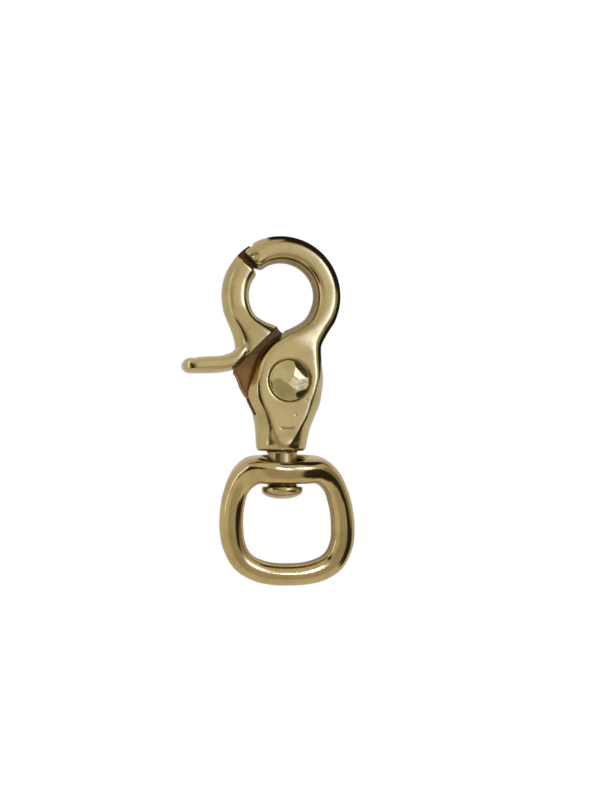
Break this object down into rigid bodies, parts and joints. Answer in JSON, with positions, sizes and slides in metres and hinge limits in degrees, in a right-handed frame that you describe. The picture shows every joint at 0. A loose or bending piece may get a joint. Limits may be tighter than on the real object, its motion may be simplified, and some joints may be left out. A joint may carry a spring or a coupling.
{
  "type": "snap hook",
  "caption": "Cast brass snap hook: round hook with a thumb-levered, sprung pivoting jaw and a swivelling rounded-square strap eye.",
  "frame": {"origin": "centre of the hook's ring opening, at half the thickness of the hook", "axes": "+X across the hook away from the thumb lever, +Y from the strap eye to the ring, +Z out of the front face that carries the peened rivet head; the hook lies on its back"},
  "size_m": [0.0418, 0.0831, 0.0143],
  "materials": {
    "hook_body": "polished cast",
    "thumb_gate": "polished cast, tang left as cast",
    "pivot_rivet": "peened",
    "gate_spring": "drawn wire",
    "swivel_eye": "polished cast"
  },
  "bodies": {
    "hook": {"hook_body": "hook_body", "pivot_rivet": "pivot_rivet", "gate_spring": "gate_spring"},
    "gate": {"thumb_gate": "thumb_gate"},
    "eye": {"swivel_eye": "swivel_eye"}
  },
  "joints": [
    {"name": "gate_hinge", "type": "hinge", "parent": "hook", "child": "gate", "pos_m": [0.0012, -0.0203, 0], "axis": [0, 0, 1], "range_deg": [0, 22], "stiffness_Nm_per_rad": 0.2, "springref_deg": -28.65, "deforming": ["gate_spring"]},
    {"name": "eye_swivel", "type": "hinge", "parent": "hook", "child": "eye", "pos_m": [0.0003, -0.041, 0], "axis": [0, 1, 0], "continuous": true}
  ]
}
